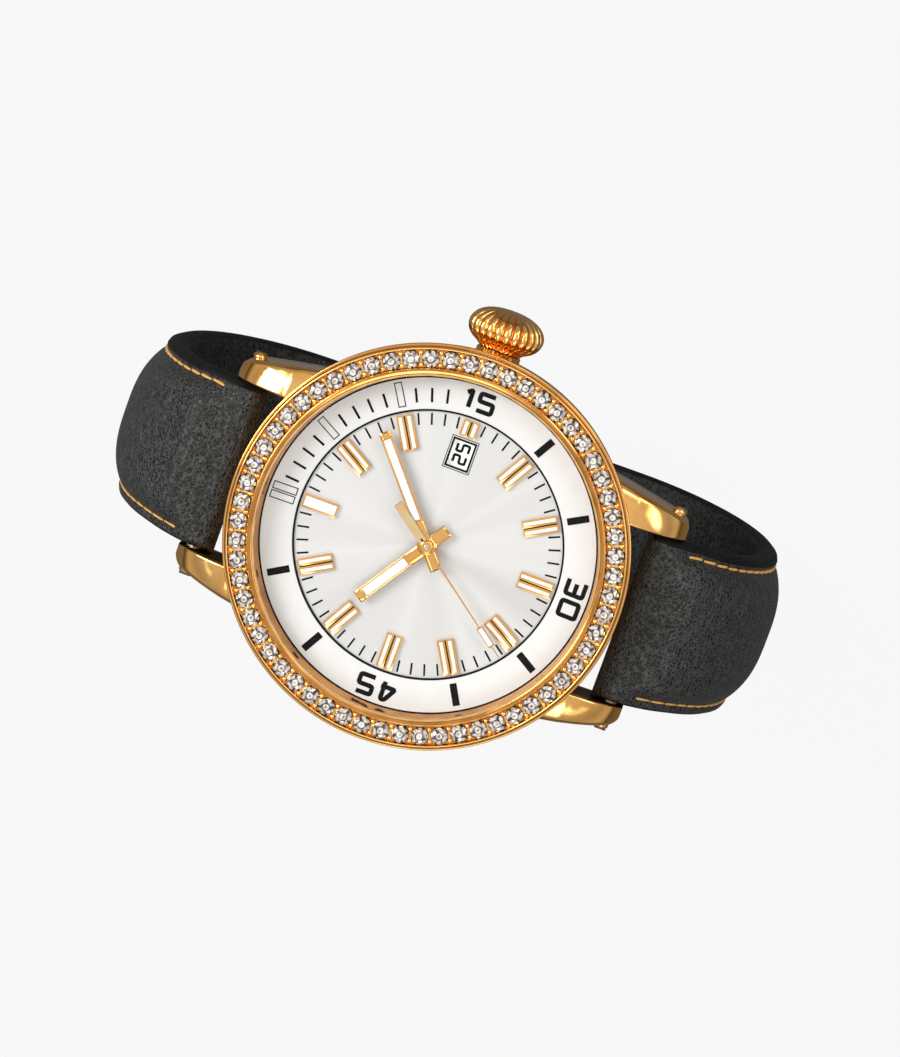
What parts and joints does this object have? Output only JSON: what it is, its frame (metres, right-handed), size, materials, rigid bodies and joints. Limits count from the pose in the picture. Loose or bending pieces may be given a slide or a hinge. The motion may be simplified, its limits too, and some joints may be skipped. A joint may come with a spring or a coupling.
{
  "type": "wristwatch",
  "caption": "Round analogue wristwatch with a stone-set bezel, a date window, a fluted crown and a padded leather strap with stitched edges.",
  "frame": {"origin": "centre of the case back's outer flat face, on the axis of the hands", "axes": "+Z out of the dial towards the viewer, +Y towards 12 o'clock, +X towards 3 o'clock and the crown"},
  "size_m": [0.0453, 0.0713, 0.0562],
  "materials": {
    "gold": "mirror-polished rose-yellow gold plating with brushed sides",
    "stone": "clear faceted stones with bright facets",
    "crystal": "clear polished crystal",
    "rubber": "matt black",
    "nylon": "amber nylon",
    "steel": "turned steel",
    "dial_silver": "silver-white with a fine sunburst",
    "printed_white": "matt white with black printing",
    "lume": "matt off-white",
    "brass": "satin brass with fine circular graining",
    "magnet": "dark sintered metal",
    "copper": "varnished copper winding",
    "board": "green board with solder mask",
    "leather": "black fine-grained leather, stitched with orange thread"
  },
  "bodies": {
    "case": {"case_middle": "gold", "bezel": "gold", "gem_ring": "stone", "crystal": "crystal", "crystal_gasket": "nylon", "flange_ring": "gold", "case_back": "gold", "case_back_gasket": "rubber", "crown_tube": "steel", "strap_bar_12": "steel", "strap_bar_6": "steel", "lug_screw_12_crown_side": "gold", "lug_screw_12_far_side": "gold", "lug_screw_6_crown_side": "gold", "lug_screw_6_far_side": "gold", "dial": "dial_silver", "chapter_ring": "printed_white", "index_01": "gold", "index_02": "gold", "index_03": "gold", "index_04": "gold", "index_05": "gold", "index_06": "gold", "index_07": "gold", "index_08": "gold", "index_09": "gold", "index_10": "gold", "index_11": "gold", "index_12": "gold", "main_plate": "brass", "train_bridge": "brass", "battery": "steel", "circuit_board": "board", "stator": "magnet", "coil": "copper"},
    "seconds": {"seconds_wheel": "brass", "seconds_hand": "gold", "seconds_hand_lume": "lume"},
    "rotor": {"rotor": "magnet"},
    "reduction": {"reduction_wheel": "brass"},
    "third": {"third_wheel": "brass"},
    "center": {"center_wheel": "brass"},
    "minute": {"cannon_pinion": "steel", "minute_hand": "gold", "minute_hand_lume": "lume"},
    "minute_work": {"minute_wheel": "brass"},
    "hour": {"hour_wheel": "brass", "hour_hand": "gold", "hour_hand_lume": "lume"},
    "date": {"date_disc": "printed_white"},
    "crown_slider": {"crown_gasket": "rubber"},
    "crown": {"crown": "gold", "winding_stem": "steel"},
    "strap_12_half": {"strap_12": "leather", "fixed_keeper": "leather", "buckle_bar": "steel"},
    "strap_6_half": {"strap_6": "leather"},
    "buckle": {"buckle_frame": "gold"},
    "tongue": {"buckle_tongue": "gold"},
    "sliding_keeper": {"free_keeper": "leather"}
  },
  "joints": [
    {"name": "seconds_turn", "type": "hinge", "parent": "case", "child": "seconds", "pos_m": [0, 0, 0.0066], "axis": [0, 0, 1], "continuous": true},
    {"name": "rotor_turn", "type": "hinge", "parent": "case", "child": "rotor", "pos_m": [0.00218, 0.00432, 0.0066], "axis": [0, 0, 1], "continuous": true},
    {"name": "reduction_turn", "type": "hinge", "parent": "case", "child": "reduction", "pos_m": [0, 0.00306, 0.0066], "axis": [0, 0, 1], "continuous": true},
    {"name": "third_turn", "type": "hinge", "parent": "case", "child": "third", "pos_m": [-0.00265, -0.00153, 0.0066], "axis": [0, 0, 1], "continuous": true},
    {"name": "center_turn", "type": "hinge", "parent": "case", "child": "center", "pos_m": [0, 0, 0.0066], "axis": [0, 0, 1], "continuous": true},
    {"name": "minute_turn", "type": "hinge", "parent": "case", "child": "minute", "pos_m": [0, 0, 0.0066], "axis": [0, 0, 1], "continuous": true},
    {"name": "minute_work_turn", "type": "hinge", "parent": "case", "child": "minute_work", "pos_m": [0.00198, -0.00198, 0.0066], "axis": [0, 0, 1], "continuous": true},
    {"name": "hour_turn", "type": "hinge", "parent": "case", "child": "hour", "pos_m": [0, 0, 0.0066], "axis": [0, 0, 1], "continuous": true},
    {"name": "date_turn", "type": "hinge", "parent": "case", "child": "date", "pos_m": [0, 0, 0.0066], "axis": [0, 0, 1], "continuous": true},
    {"name": "crown_pull", "type": "slide", "parent": "case", "child": "crown_slider", "axis": [1, 0, 0], "range_m": [0, 0.0012]},
    {"name": "crown_turn", "type": "hinge", "parent": "crown_slider", "child": "crown", "pos_m": [0, 0, 0.0045], "axis": [1, 0, 0], "continuous": true},
    {"name": "strap_12_swing", "type": "hinge", "parent": "case", "child": "strap_12_half", "pos_m": [0, 0.0225, 0.0033], "axis": [1, 0, 0], "range_deg": [0, 70]},
    {"name": "strap_6_swing", "type": "hinge", "parent": "case", "child": "strap_6_half", "pos_m": [0, -0.0225, 0.0033], "axis": [1, 0, 0], "range_deg": [-70, 0]},
    {"name": "buckle_swing", "type": "hinge", "parent": "strap_12_half", "child": "buckle", "pos_m": [0, 0.0045, -0.0424], "axis": [1, 0, 0], "range_deg": [0, 45]},
    {"name": "tongue_swing", "type": "hinge", "parent": "buckle", "child": "tongue", "pos_m": [0, 0.0045, -0.0424], "axis": [1, 0, 0], "range_deg": [0, 35]},
    {"name": "keeper_slide", "type": "slide", "parent": "strap_12_half", "child": "sliding_keeper", "axis": [0, 1, 0], "range_m": [-0.0012, 0.0012]}
  ],
  "couplings": [
    {"joint": "rotor_turn", "follows": "seconds_turn", "ratio": 30},
    {"joint": "reduction_turn", "follows": "seconds_turn", "ratio": -5},
    {"joint": "third_turn", "follows": "seconds_turn", "ratio": -0.13333},
    {"joint": "center_turn", "follows": "seconds_turn", "ratio": 0.016667},
    {"joint": "minute_work_turn", "follows": "minute_turn", "ratio": -0.33333},
    {"joint": "hour_turn", "follows": "minute_turn", "ratio": 0.083333}
  ]
}
